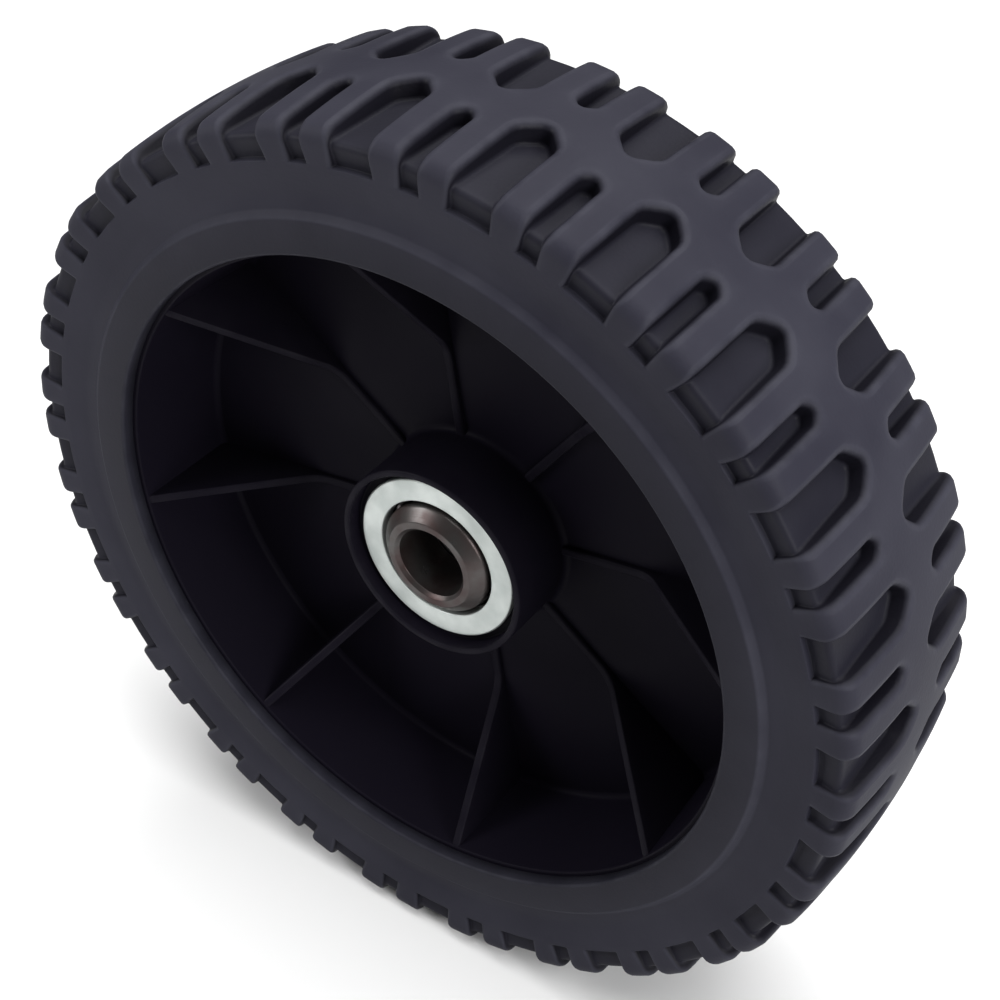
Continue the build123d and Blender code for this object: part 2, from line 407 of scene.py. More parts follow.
class TyreSection:
    """The tyre's section in millimetres: the outer line from the middle of the tread to the seat on the rim,
    and the floor line of the slots under it. Places along both are lengths along the outer line."""

    def __init__(self, sizes):
        self.radius = sizes.tread_radius / MM
        self.side = sizes.half_width / MM
        self.drop = sizes.crown_drop / MM
        floor = self.radius - sizes.slot_depth / MM
        floor_side = self.side - sizes.slot_set_in / MM
        shoulder_round = sizes.shoulder_round / MM
        floor_bend = sizes.floor_bend / MM
        foot_side = self.side - sizes.foot_set_in / MM
        axial = np.linspace(0, CROWN_END, CROWN_POINTS)
        crown = np.stack([self.crown(axial), axial], -1)
        shoulder = (self.radius - self.drop, self.side)
        corners = [(*crown[-1], 0, 0), (*shoulder, shoulder_round, SHOULDER_STEPS),
                   (FLARE_RADIUS, self.side - FLARE_SET_IN, FLARE_ROUND, 2),
                   (WAIST_RADIUS, self.side - WAIST_SET_IN, WAIST_ROUND, 3),
                   (BEAD_FOOT_RADIUS, self.side - BEAD_FOOT_SET_IN, BEAD_ROUND, 3),
                   (BEAD_RADIUS, self.side - BEAD_SET_IN, BEAD_ROUND, 4),
                   (LIP_RADIUS, self.side - BEAD_SET_IN, LIP_ROUND, 3),
                   (LIP_RADIUS, self.side - SEAT_SET_IN, 0, 0), (SEAT_RADIUS, self.side - SEAT_SET_IN, 0, 0)]
        self.outer = np.concatenate([crown[:-1], rounded(corners)])
        self.place = along(self.outer)
        lean = (floor_side - foot_side) / (floor - SLOT_FOOT_RADIUS)
        floor_low = floor - SLOT_FLOOR_RUN
        floor_line = rounded([(floor, CROWN_END, 0, 0), (floor, floor_side, floor_bend, 8),
                              (floor_low, floor_side - SLOT_FLOOR_RUN * lean, 0, 0)])
        share = along(floor_line) / along(floor_line)[-1]
        self.bend = self.place_at(self.crown(CROWN_END))
        self.turn = self.place_at(floor_low)
        self.foot = self.place_at(SLOT_FOOT_RADIUS)
        self.arc = self.place[CROWN_POINTS], self.place[CROWN_POINTS + SHOULDER_STEPS]
        self.end = self.place_at(BAND_RADIUS)
        flare = np.linspace(floor_low, SLOT_FLOOR_END, 8)[1:]
        self.floor_places = np.concatenate([
            axial[:-1] * self.bend / CROWN_END, self.bend + share * (self.turn - self.bend),
            [self.place_at(radius) for radius in flare]])
        level = np.stack([np.full(len(axial) - 1, floor), axial[:-1]], -1)
        side = np.stack([flare, floor_side - lean * (floor - flare)], -1)
        self.floor_points = np.concatenate([level, floor_line, side])

    def crown(self, axial):
        """Radius of the tread: it falls with the square of the distance from the middle."""
        return self.radius - self.drop * (axial / self.side) ** 2

    def place_at(self, radius):
        """Length along the outer line to the first point at a radius."""
        return float(np.interp(-radius, -self.outer[:-2, 0], self.place[:-2]))

    def outer_at(self, place):
        """(radius, axial) of the outer line."""
        return np.stack([np.interp(place, self.place, self.outer[:, k]) for k in (0, 1)], -1)

    def floor_at(self, place):
        """(radius, axial) of the slots' floor."""
        return np.stack([np.interp(place, self.floor_places, self.floor_points[:, k]) for k in (0, 1)], -1)

    def ledge(self, place):
        """Share of its depth that a slot has: all of it to the ledge at its foot, none beyond."""
        step = np.clip((self.foot + LEDGE_LENGTH / 2 - place) / LEDGE_LENGTH, 0, 1)
        return step * step * (3 - 2 * step)


def slot_rows(section):
    """Places of the rows that all slots share, from where both kinds run straight to the start of the
    plain band under the slots' feet."""
    arc = np.linspace(*section.arc, 7)
    shoulder = np.concatenate([[section.bend, (section.bend + arc[0]) / 2], arc,
                               [(arc[-1] + section.turn) / 2, section.turn]])
    flare = np.linspace(section.turn, section.foot - LEDGE_MARGIN, 4)
    ledge = section.foot + LEDGE_ROWS
    return np.concatenate([TREAD_ROWS, shoulder, flare[1:], ledge, [section.end]])


def half_slot(section, sizes, half, tip, cell_angle):
    """Half a slot and the lug beside it as a grid of rows along the slot's outline and lines across it.
    The outline runs from a rounded apex along a 45 degree side and a rounded corner to the straight wall.
    Lines near the wall keep their distance from the outline, and the others blend to the slot's middle
    and to the edge of the cell. Returns the angle from the slot's middle, the place and the depth share."""
    shared = slot_rows(section)
    tip_round, corner_round = TIP_ROUND + TIP_ROUND_SHARE * half, CORNER_ROUND_SHARE * half
    apex = np.array([0.0, tip + tip_round * math.sqrt(2)])
    corner = np.array([half - corner_round, tip + half + corner_round * math.tan(math.pi / 8)])
    normal = np.stack([np.sin(OUTLINE_TURNS), -np.cos(OUTLINE_TURNS)], -1)
    outline = np.empty((len(OUTLINE_TURNS), 2))
    outline[:3] = apex + tip_round * normal[:3]
    outline[4:] = corner + corner_round * normal[4:]
    outline[3] = (outline[2] + outline[4]) / 2
    straight = np.concatenate([np.linspace(outline[6, 1], shared[0], 4)[1:3], shared])
    outline = np.concatenate([outline, np.stack([np.full(len(straight), half), straight], -1)])
    normal = np.concatenate([normal, np.tile([1.0, 0.0], (len(straight), 1))])
    rows = len(outline)

    deep = section.outer_at(outline[:, 1]) - section.floor_at(outline[:, 1])
    depth = np.linalg.norm(deep, axis=1)
    edge = sizes.edge_round / MM
    fillet = sizes.floor_round / MM
    shrink = np.clip(ROUND_SHARE * depth / edge, LEAST_ROUND, 1)[:, None]
    offset = np.concatenate([-WALL_DRAFT - fillet * (1 - np.cos(FLOOR_TURNS)),
                             edge * (1 - np.cos(EDGE_TURNS))])
    lines = outline[:, None] + normal[:, None] * (offset * shrink)[..., None]

    across = np.empty((rows, SLOT_LINES, 2))
    across[:, 1:8] = lines
    floor = np.linspace(tip + FLOOR_TIP_GAP, shared[0] + FLOOR_ROW_GAP, TIP_ROWS + 1)[:-1]
    middle = np.concatenate([floor, shared])
    across[:, 0] = np.stack([np.zeros(rows), middle], -1)
    angle = across[..., 0] / section.outer_at(across[..., 1])[..., 0]
    place = across[..., 1]
    side_angle = np.full(rows, cell_angle)
    side_angle[:4] = cell_angle * TIP_FAN
    side_place = np.concatenate([[0, 0, 0, 0], np.linspace(0, shared[0], TIP_ROWS - 2)[1:-1], shared])
    for line, share in LUG_LINES.items():
        angle[:, line] = angle[:, 7] + share * (side_angle - angle[:, 7])
        place[:, line] = place[:, 7] + share * (side_place - place[:, 7])

    gap = np.linalg.norm(section.outer_at(place) - section.floor_at(place), axis=-1)
    down = np.zeros_like(gap)
    down[:, 0] = 1
    down[:, 1:4] = 1 - fillet * shrink * (1 - np.sin(FLOOR_TURNS)) / gap[:, 1:4]
    down[:, 4:8] = edge * shrink * (1 - np.sin(EDGE_TURNS)) / gap[:, 4:8]
    down *= section.ledge(place)
    return angle, place, down


def tyre_mesh(sizes):
    """The whole tyre: for every slot two half-slot grids on the tread and shoulder, and one closed band
    round the sidewalls, beads, lips and seat that carries their columns from one side to the other.
    A point at place s and depth share d lies at outer(s) + d (floor(s) - outer(s))."""
    section = TyreSection(sizes)
    cells = 2 * sizes.slots_per_row
    cell_angle = math.pi / cells
    kinds = [half_slot(section, sizes, sizes.wide_half / MM, sizes.wide_tip / MM, cell_angle),
             half_slot(section, sizes, sizes.narrow_half / MM, sizes.narrow_tip / MM, cell_angle)]
    angle, place, down = (np.stack([kind[k] for kind in kinds]) for k in range(3))
    flat = section.outer_at(place)
    flat = flat + down[..., None] * (section.floor_at(place) - flat)
    rows, lines = angle.shape[1:]

    # Axes of the arrays: side of the wheel, cell round it, half of the cell, row, line
    middle = sizes.slot_start + 2 * cell_angle * np.arange(cells)
    kind = (np.arange(cells)[None, :] + np.arange(2)[:, None]) % 2
    half = np.array([1.0, -1.0])
    turn = middle[None, :, None, None, None] + half[None, None, :, None, None] * angle[kind][:, :, None]
    radius = np.broadcast_to(flat[kind][:, :, None, :, :, 0], turn.shape)
    axial = flat[kind][:, :, None, :, :, 1] * np.array([-1.0, 1.0])[:, None, None, None, None]
    axial = np.broadcast_to(axial, turn.shape)
    tread = np.stack([radius * np.cos(turn), axial, radius * np.sin(turn)], -1).reshape(-1, 3)
    # Lug edges paler, partly wear and partly painted highlight
    edge = np.broadcast_to(EDGE_WEAR_AND_HIGHLIGHT * section.ledge(place)[kind][:, :, None], turn.shape).ravel()
    # Painted shade that darkens the slots, most on their walls
    slot = np.broadcast_to(SLOT_PAINTED_SHADE * section.ledge(place)[kind][:, :, None], turn.shape).ravel()
    quads = grid_faces(rows, lines, False, False)
    flips = (np.arange(2)[:, None, None] + np.arange(2)[None, None, :] + np.zeros((2, cells, 2), int)) % 2
    starts = np.arange(2 * cells * 2) * rows * lines
    patches = np.where(flips.ravel()[:, None, None] == 0, quads, quads[:, [0, 3, 2, 1]])
    tread_faces = (patches + starts[:, None, None]).reshape(-1, 4)

    # Band from the slots' feet on one side round the inside to those on the other
    inner = section.outer[section.place > section.end + 0.05]
    side = np.concatenate([section.outer_at(np.array([section.end])), inner])
    loop = np.concatenate([side * (1, -1), side[::-1]])
    share = np.zeros(len(loop))
    share[len(side):] = 1
    columns = np.concatenate([-angle[:, -1, :0:-1], angle[:, -1, :-1]], 1)
    first = (middle[:, None] + columns[kind[0]]).ravel()
    last = (middle[:, None] + columns[kind[1]]).ravel()
    turn = first[None] + share[:, None] * (last - first)[None]
    radius, axial = loop[:, :1], loop[:, 1:]
    band = np.stack(np.broadcast_arrays(radius * np.cos(turn), axial, radius * np.sin(turn)), -1)
    band_faces = grid_faces(len(loop), len(first), False, True)
    # Painted highlights on the bead's outer edge and on the lip's edge
    wear_and_highlight = hump(radius, BEAD_HIGHLIGHT_RADIUS, BEAD_HIGHLIGHT_SPREAD) + hump(radius, LIP_HIGHLIGHT_RADIUS, LIP_HIGHLIGHT_SPREAD)
    # Painted shade on the bead faces inside the bead's edge
    painted_shade = np.clip((BEAD_RADIUS - radius) / BEAD_SHADE_FADE, 0, 1)

    points = np.concatenate([tread, band.reshape(-1, 3)])
    faces = np.concatenate([tread_faces, band_faces + len(tread)])
    edge = np.concatenate([edge, np.broadcast_to(wear_and_highlight, turn.shape).ravel()])
    slot = np.concatenate([slot, np.broadcast_to(painted_shade, turn.shape).ravel()])
    keys = np.round(points * WELD_STEPS_PER_MM).astype(np.int64)
    kept, joined = np.unique(keys, axis=0, return_index=True, return_inverse=True)[1:]
    return points[kept] * MM, joined.ravel()[faces], {"edge": edge[kept], "slot": slot[kept]}


# Rim


def rim_outline():
    """The rim's section as a closed outline of (radius, axial) points in millimetres: bore, bearing seats,
    hub ends, web and barrel, with moulded rounds on its edges."""
    middle = HUB_MIDDLE / MM
    hub_end = middle - RIM_HIGH[1] / MM
    barrel_end = RIM_LOW[1] / MM
    half = [(HUB_BORE, -HUB_SEAT_END, 0.3, 2), (BEARING_RADIUS, -HUB_SEAT_END, 0.3, 2),
            (BEARING_RADIUS, -HUB_SEAT_START, 0.3, 2), (HUB_RECESS, -HUB_SEAT_START, 0.4, 2),
            (HUB_RECESS, hub_end, 0.45, 4), (HUB_RADIUS, hub_end, 0.55, 4),
            (HUB_RADIUS, -WEB_HALF, WEB_ROUND, 5)]
    front = [(radius, middle + axial, bend, steps) for radius, axial, bend, steps in half]
    rear = [(radius, middle - axial, bend, steps) for radius, axial, bend, steps in half]
    barrel = [(BARREL_ROOT, middle - WEB_HALF, WEB_ROUND, 5), (BARREL_INSIDE, barrel_end, 0.5, 4),
              (BARREL_OUTSIDE, barrel_end, 0.5, 3), (BARREL_OUTSIDE, -barrel_end, 0.5, 3),
              (BARREL_INSIDE, -barrel_end, 0.5, 4), (BARREL_ROOT, middle + WEB_HALF, WEB_ROUND, 5)]
    start = [(HUB_BORE, middle, 0, 0)]
    return rounded(start + front + barrel + rear[::-1] + start)[:-1]


def rib_grids(sizes):
    """A grid for the ribs of each side: along a rib its top line runs low over the web, bends at a knee
    and climbs to the barrel, and across it a section goes up one side, over the rounded top and down."""
    middle = HUB_MIDDLE / MM
    barrel_end = -RIM_LOW[1] / MM
    width = sizes.rib_thickness / MM / 2
    bend = sizes.rib_round / MM
    slope = (barrel_end - RIB_SET_BACK + middle - RIB_LOW) / (BARREL_INSIDE - RIB_KNEE)
    across = np.concatenate([[-width], bend * (1 - np.cos(EDGE_TURNS)) - width])
    across = np.concatenate([across, -across[::-1]])
    below = np.concatenate([[0], bend * (1 - np.sin(EDGE_TURNS))])
    below = np.concatenate([below, below[::-1]])
    root = np.zeros(len(across))
    root[[0, -1]] = 1
    grids = []
    for side in (-1.0, 1.0):
        low = middle + side * RIB_LOW
        top = side * (barrel_end - RIB_SET_BACK)
        knee = BARREL_INSIDE - abs(top - low) / slope
        line = rounded([(RIB_INNER, low, 0, 0), (knee, low, RIB_KNEE_ROUND, 6),
                        (RIB_TOP_START, top, RIB_TOP_ROUND, 4), (RIB_OUTER, top, 0, 0)])
        foot = middle + side * RIB_FOOT
        axial = line[:, 1:] - side * below * (root == 0)
        axial = np.where(root > 0, foot, axial)
        draft = np.where(root > 0, 1 + RIB_DRAFT * np.abs(line[:, 1:] - foot), 1.0)
        grids.append(np.stack(np.broadcast_arrays(line[:, :1], axial, across * draft), -1))
    return grids


def rim_mesh(sizes):
    """The turned body with the ribs standing on both faces of its web. A rib at angle t turns its
    (radius, axial, across) to (radius cos t - across sin t, axial, radius sin t + across cos t)."""
    outline = rim_outline()
    body_points, body_faces = turned(outline * MM, RIM_TURNS)
    hub_ends = np.array([RIM_HIGH[1], 2 * HUB_MIDDLE - RIM_HIGH[1]]) / MM
    near_end = np.abs(outline[:, 1:] - hub_ends).min(1)
    # Painted highlight near the hub's end edges
    bright = hump(near_end, 0, HUB_HIGHLIGHT_SPREAD) * (outline[:, 0] < HUB_HIGHLIGHT_LIMIT)
    points, faces = [body_points], [outward(body_points, body_faces)]
    edge = [np.tile(bright, RIM_TURNS)]
    count = len(body_points)
    angle = sizes.rib_start + 2 * math.pi / sizes.rib_count * np.arange(sizes.rib_count)
    cosine, sine = np.cos(angle)[:, None], np.sin(angle)[:, None]
    for grid in rib_grids(sizes):
        rows, columns = grid.shape[:2]
        radius, axial, across = (grid.reshape(1, -1, 3) * MM).transpose(2, 0, 1)
        ribs = np.stack(np.broadcast_arrays(
            radius * cosine - across * sine, axial, radius * sine + across * cosine), -1)
        pair = np.arange(columns // 2 - 1)[:, None]
        cap = np.concatenate([pair, pair + 1, columns - 2 - pair, columns - 1 - pair], 1)
        skin = grid_faces(rows, columns, False, True)
        quads = outward(ribs[0], np.concatenate([skin, cap[:, ::-1], cap + (rows - 1) * columns]))
        starts = count + np.arange(len(angle))[:, None, None] * rows * columns
        points.append(ribs.reshape(-1, 3))
        faces.append((quads[None] + starts).reshape(-1, 4))
        # Painted highlight along the ribs' top edges
        edge.append(np.tile(RIB_EDGE_HIGHLIGHT, rows * len(angle)))
        count += len(angle) * rows * columns
    return np.concatenate(points), np.concatenate(faces), {"edge": np.concatenate(edge)}


# Bearings


def groove(above):
    """The ball groove of a race as an arc of (radius, axial, 0, 0) corners from land to land."""
    start = math.acos(GROOVE_LAND / GROOVE_RADIUS)
    turn = np.linspace(start, -start, GROOVE_POINTS)
    side = 1 if above else -1
    radius = BALL_PITCH + side * GROOVE_RADIUS * np.cos(turn)
    axial = BALL_PLANE + side * GROOVE_RADIUS * np.sin(turn)
    return [(float(a), float(b), 0, 0) for a, b in zip(radius, axial)]


def outer_race_outline(sizes):
    """Pressed flange with rolled edges, plain outside and grooved inside."""
    bend = sizes.flange_round / MM
    start = [(FLANGE_MIDDLE, FLANGE_BACK, 0, 0)]
    body = [(BEARING_RADIUS, FLANGE_BACK, 0.2, 2), (BEARING_RADIUS, BEARING_WIDTH, 0.5, 3),
            (OUTER_LAND, BEARING_WIDTH, 0.3, 3)]
    front = [(OPENING_RADIUS, OPENING_END, 0, 0), (OPENING_RADIUS, FLANGE_FRONT, bend, 4),
             (FLANGE_RADIUS, FLANGE_FRONT, bend * 1.4, 5), (FLANGE_RADIUS, FLANGE_BACK, bend, 3)]
    return rounded(start + body + groove(True) + front + start)[:-1]


def inner_race_outline(sizes):
    """Nose with a coned end, bore with chamfers, grooved outside."""
    bend = sizes.race_round / MM
    start = [(BORE_RADIUS, BORE_MIDDLE, 0, 0)]
    front = [(BORE_RADIUS, BORE_CHAMFER, 0.2, 2), (BORE_EDGE, 0.0, 0.2, 2), (NOSE_END_RADIUS, 0.0, bend, 3),
             (NOSE_RADIUS, FLANGE_FRONT, bend * 2, 4), (NOSE_RADIUS, FLANGE_BACK, 0.2, 2),
             (INNER_LAND, FLANGE_BACK, 0.1, 2)]
    rear = [(INNER_LAND, BEARING_WIDTH, bend, 3), (BORE_EDGE, BEARING_WIDTH, 0.2, 2),
            (BORE_RADIUS, BEARING_WIDTH - BORE_CHAMFER, 0.2, 2)]
    return rounded(start + front + groove(False) + rear + start)[:-1]


def sleeve_outline():
    """Drawn tube with broken edges between the inner races."""
    start = [(SLEEVE_RADIUS, (BEARING_WIDTH + SLEEVE_END) / 2, 0, 0)]
    corners = [(SLEEVE_RADIUS, SLEEVE_END, 0.3, 2), (BORE_RADIUS, SLEEVE_END, 0.2, 2),
               (BORE_RADIUS, BEARING_WIDTH, 0.2, 2), (SLEEVE_RADIUS, BEARING_WIDTH, 0.3, 2)]
    return rounded(start + corners + start)[:-1]


def placed(outline, rear):
    """An outline moved to its place along the axle, in metres, and for the rear bearing mirrored there."""
    axial = RACE_START + outline[:, 1] * MM
    if rear:
        axial = 2 * HUB_MIDDLE - axial
    return np.stack([outline[:, 0] * MM, axial], -1)


def ball_set(count, rear):
    """Balls in a ring. A ball is a cube's six gridded faces pushed out to the sphere: the point
    (tan u, tan v, 1) of a face is scaled to the ball's radius, and points that meet are joined."""
    turn = np.tan(np.linspace(-math.pi / 4, math.pi / 4, BALL_STEPS + 1))
    u, v = np.meshgrid(turn, turn, indexing="ij")
    face = np.stack([u, v, np.ones_like(u)], -1).reshape(-1, 3)
    cube = np.concatenate([side * np.roll(face, roll, 1) for roll in range(3) for side in (1, -1)])
    quads = grid_faces(len(turn), len(turn), False, False)
    faces = np.concatenate([(quads if k % 2 == 0 else quads[:, ::-1]) + k * len(face) for k in range(6)])
    kept, joined = np.unique(np.round(cube, 6), axis=0, return_index=True, return_inverse=True)[1:]
    unit = cube[kept] / np.linalg.norm(cube[kept], axis=1, keepdims=True)
    faces = outward(unit, joined.ravel()[faces])
    angle = 2 * math.pi / count * np.arange(count)
    radius, axial = placed(np.array([[BALL_PITCH, BALL_PLANE]]), rear)[0]
    middle = np.stack([radius * np.cos(angle), np.full(count, axial), radius * np.sin(angle)], -1)
    points = middle[:, None] + unit[None] * BALL_RADIUS * MM
    starts = np.arange(count)[:, None, None] * len(unit)
    return points.reshape(-1, 3), (faces[None] + starts).reshape(-1, 4)


# Finishes


def node(tree, kind, inputs, **settings):
    """Adds a node: settings are its options, and each input is a plain value or another node's output."""
    made = tree.nodes.new(kind)
    for name, value in settings.items():
        setattr(made, name, value)
    for socket, value in inputs.items():
        if isinstance(value, bpy.types.NodeSocket):
            tree.links.new(value, made.inputs[socket])
        else:
            made.inputs[socket].default_value = value
    return made


def effect(name, inputs, outputs):
    """An empty node group with a Vector input, named number inputs and named number outputs."""
    tree = bpy.data.node_groups.new(name, "ShaderNodeTree")
    tree.interface.new_socket("Vector", in_out="INPUT", socket_type="NodeSocketVector")
    for socket, value in inputs.items():
        made = tree.interface.new_socket(socket, in_out="INPUT", socket_type="NodeSocketFloat")
        made.default_value = value
    for socket in outputs:
        tree.interface.new_socket(socket, in_out="OUTPUT", socket_type="NodeSocketFloat")
    return tree, tree.nodes.new("NodeGroupInput").outputs, tree.nodes.new("NodeGroupOutput").inputs


def moulded_grain():
    """Grain is fine noise for bumps, and Cloud is wide noise for uneven gloss and colour."""
    tree, given, made = effect("Moulded grain", {"Scale": 900.0, "Cloud scale": 45.0}, ["Grain", "Cloud"])
    for socket, scale, detail in (("Grain", "Scale", 2.0), ("Cloud", "Cloud scale", 4.0)):
        inputs = {"Vector": given["Vector"], "Scale": given[scale], "Detail": detail}
        noise = node(tree, "ShaderNodeTexNoise", inputs)
        tree.links.new(noise.outputs["Fac"], made[socket])
    return tree


def rubbed_edge():
    """Rub is the piece's edge mark, broken up by patchy noise: paler edges that are partly wear and partly
    painted highlight on the rubber, and painted highlight on the plastic.
    """
    tree, given, made = effect("Rubbed edge", {"Edge": 0.0, "Amount": 1.0}, ["Rub"])
    noise = node(tree, "ShaderNodeTexNoise", {"Vector": given["Vector"], "Scale": 160.0, "Detail": 5.0})
    patches = node(tree, "ShaderNodeMapRange", {
        "Value": noise.outputs["Fac"], "From Min": 0.32, "From Max": 0.7, "To Min": 0.15, "To Max": 1.0})
    strong = node(tree, "ShaderNodeMath", {0: given["Edge"], 1: given["Amount"]}, operation="MULTIPLY")
    wear_and_highlight_share = node(tree, "ShaderNodeMath", {0: strong.outputs[0], 1: patches.outputs[0]}, operation="MULTIPLY",
               use_clamp=True)
    tree.links.new(wear_and_highlight_share.outputs[0], made["Rub"])
    return tree


def turned_rings():
    """Rings is one-dimensional noise of the distance from the axle, as a turning tool leaves it."""
    tree, given, made = effect("Turned rings", {"Rings per metre": 4000.0}, ["Rings"])
    parts = node(tree, "ShaderNodeSeparateXYZ", {"Vector": given["Vector"]})
    across = node(tree, "ShaderNodeCombineXYZ", {"X": parts.outputs["X"], "Z": parts.outputs["Z"]})
    radius = node(tree, "ShaderNodeVectorMath", {0: across.outputs[0]}, operation="LENGTH")
    inputs = {"W": radius.outputs["Value"], "Scale": given["Rings per metre"], "Detail": 2.0}
    noise = node(tree, "ShaderNodeTexNoise", inputs, noise_dimensions="1D")
    tree.links.new(noise.outputs["Fac"], made["Rings"])
    return tree


def placed_effect(tree, make, inputs):
    """Puts an effect into a material with its own values, and builds its group on first use."""
    name = make.__name__.replace("_", " ").capitalize()
    group = bpy.data.node_groups.get(name) or make()
    return node(tree, "ShaderNodeGroup", inputs, node_tree=group).outputs


def colour(value):
    """A colour setting as the four numbers that a socket takes."""
    return (*value, 1.0)


def start_finish(name, sockets):
    """A material with a shader whose even values are set on its own sockets. Returns the material, its
    tree, the shader and the Object coordinates."""
    material = bpy.data.materials.get(name) or bpy.data.materials.new(name)
    material.use_nodes = True
    tree = material.node_tree
    tree.nodes.clear()
    shader = node(tree, "ShaderNodeBsdfPrincipled", sockets)
    node(tree, "ShaderNodeOutputMaterial", {"Surface": shader.outputs[0]})
    return material, tree, shader, node(tree, "ShaderNodeTexCoord", {}).outputs["Object"]


def blended(tree, share, first, second):
    """A colour between two, by a share that changes over the surface."""
    return node(tree, "ShaderNodeMix", {0: share, 6: first, 7: second}, data_type="RGBA").outputs[2]


def spread(tree, value, low, high):
    """Noise, which keeps near its middle, spread between two values."""
    inputs = {"Value": value, "From Min": 0.3, "From Max": 0.7, "To Min": low, "To Max": high}
    return node(tree, "ShaderNodeMapRange", inputs).outputs[0]


def raised(tree, shader, height, strength, distance):
    """Lets a height make small bumps on a shader."""
    bump = node(tree, "ShaderNodeBump", {"Height": height, "Strength": strength, "Distance": distance})
    tree.links.new(bump.outputs["Normal"], shader.inputs["Normal"])


def rubber_finish(sizes):
    """Moulded rubber: charcoal with a soft sheen and cloudy gloss; lug edges a little paler, partly from
    handling and partly as painted highlight, painted highlights on the bead and lip edges, and painted shade
    that darkens the slots and bead faces.
    """
    material, tree, shader, place = start_finish("moulded_rubber", {"Specular IOR Level": 0.06})
    grain = placed_effect(tree, moulded_grain, {"Vector": place, "Scale": 1400.0, "Cloud scale": 38.0})
    edge = node(tree, "ShaderNodeAttribute", {}, attribute_name="edge").outputs["Fac"]
    # Paler edges, partly wear and partly painted highlight
    wear_and_highlight_share = placed_effect(tree, rubbed_edge, {"Vector": place, "Edge": edge, "Amount": 0.5})
    wear_and_highlight = colour(sizes.rubber_worn)
    base = blended(tree, spread(tree, grain["Cloud"], 0.0, 0.35), colour(sizes.rubber), wear_and_highlight)
    # The slot mark puts painted shade into the colour and a little more gloss into the roughness
    slot = node(tree, "ShaderNodeAttribute", {}, attribute_name="slot").outputs["Fac"]
    painted_shade = node(tree, "ShaderNodeMath", {0: slot, 1: 0.5}, operation="MULTIPLY").outputs[0]
    base = blended(tree, painted_shade, base, colour(sizes.rubber_clean))
    tree.links.new(blended(tree, wear_and_highlight_share["Rub"], base, wear_and_highlight), shader.inputs["Base Color"])
    smooth = node(tree, "ShaderNodeMath", {0: slot, 1: -0.08, 2: spread(tree, grain["Cloud"], 0.52, 0.64)},
                  operation="MULTIPLY_ADD")
    tree.links.new(smooth.outputs[0], shader.inputs["Roughness"])
    raised(tree, shader, grain["Grain"], 0.12, 0.0004)
    return material


def plastic_finish(sizes):
    """Black moulded plastic: fine grain, and painted highlights along the edges of the hub and ribs."""
    material, tree, shader, place = start_finish("black_plastic", {"Specular IOR Level": 0.025})
    grain = placed_effect(tree, moulded_grain, {"Vector": place, "Scale": 1800.0, "Cloud scale": 30.0})
    edge = node(tree, "ShaderNodeAttribute", {}, attribute_name="edge").outputs["Fac"]
    # Paler edges as painted highlight
    wear_and_highlight_share = placed_effect(tree, rubbed_edge, {"Vector": place, "Edge": edge, "Amount": 0.9})
    base = blended(tree, wear_and_highlight_share["Rub"], colour(sizes.plastic), colour(sizes.plastic_worn))
    tree.links.new(base, shader.inputs["Base Color"])
    tree.links.new(spread(tree, grain["Cloud"], 0.40, 0.55), shader.inputs["Roughness"])
    raised(tree, shader, grain["Grain"], 0.08, 0.0003)
    return material


def steel_finish(name, bright, dull, metallic, rough, rings):
    """Turned steel: rings from the tool and a cloudy film that dulls its colour and gloss."""
    material, tree, shader, place = start_finish(name, {"Metallic": metallic})
    grain = placed_effect(tree, moulded_grain, {"Vector": place, "Scale": 1500.0, "Cloud scale": 160.0})
    turned_marks = placed_effect(tree, turned_rings, {"Vector": place, "Rings per metre": rings})
    film = spread(tree, grain["Cloud"], 0.0, 1.0)
    tree.links.new(blended(tree, film, colour(bright), colour(dull)), shader.inputs["Base Color"])
    tree.links.new(spread(tree, grain["Cloud"], *rough), shader.inputs["Roughness"])
    raised(tree, shader, turned_marks["Rings"], 0.10, 0.0002)
    return material


def dress(piece, material, node_name, body):
    """Gives a piece its finish, puts it in place of a node and lets it move with that node's body."""
    piece.data.materials.append(material)
    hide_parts(node_name)
    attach(piece, body)


def turned_piece(name, outline, count):
    """A closed outline in metres turned about the axle, as a new piece."""
    points, faces = turned(outline, count)
    return new_piece(name, points, outward(points, faces))


# Operators


class WHEEL_OT_tyre(bpy.types.Operator):
    """Makes the lugged rubber tyre with its slots, shoulders, waists and beads"""

    bl_idname = "wheel.tyre"
    bl_label = "Tyre"

    def execute(self, context):
        sizes = context.scene.wheel_tyre
        piece = new_piece("lugged_tyre", *tyre_mesh(sizes))
        dress(piece, rubber_finish(sizes), "tyre", "wheel")
        return {"FINISHED"}


class WHEEL_OT_rim(bpy.types.Operator):
    """Makes the black rim: barrel, web, ribs on both sides and the hub"""

    bl_idname = "wheel.rim"
    bl_label = "Rim"

    def execute(self, context):
        sizes = context.scene.wheel_rim
        piece = new_piece("ribbed_rim", *rim_mesh(sizes))
        dress(piece, plastic_finish(sizes), "rim", "wheel")
        return {"FINISHED"}


class WHEEL_OT_outer_races(bpy.types.Operator):
    """Makes the two plated outer races with their flanges"""

    bl_idname = "wheel.outer_races"
    bl_label = "Outer races"

    def execute(self, context):
        sizes = context.scene.wheel_bearings
        finish = steel_finish("zinc_plate", sizes.zinc, sizes.zinc_dull, metallic=0.55, rough=(0.34, 0.48),
                              rings=2600.0)
        for end in ("front", "rear"):
            outline = placed(outer_race_outline(sizes), end == "rear")
            piece = turned_piece(end + "_flanged_race", outline, OUTER_RACE_TURNS)
            dress(piece, finish, end + "_bearing_outer_race", "wheel")
        return {"FINISHED"}


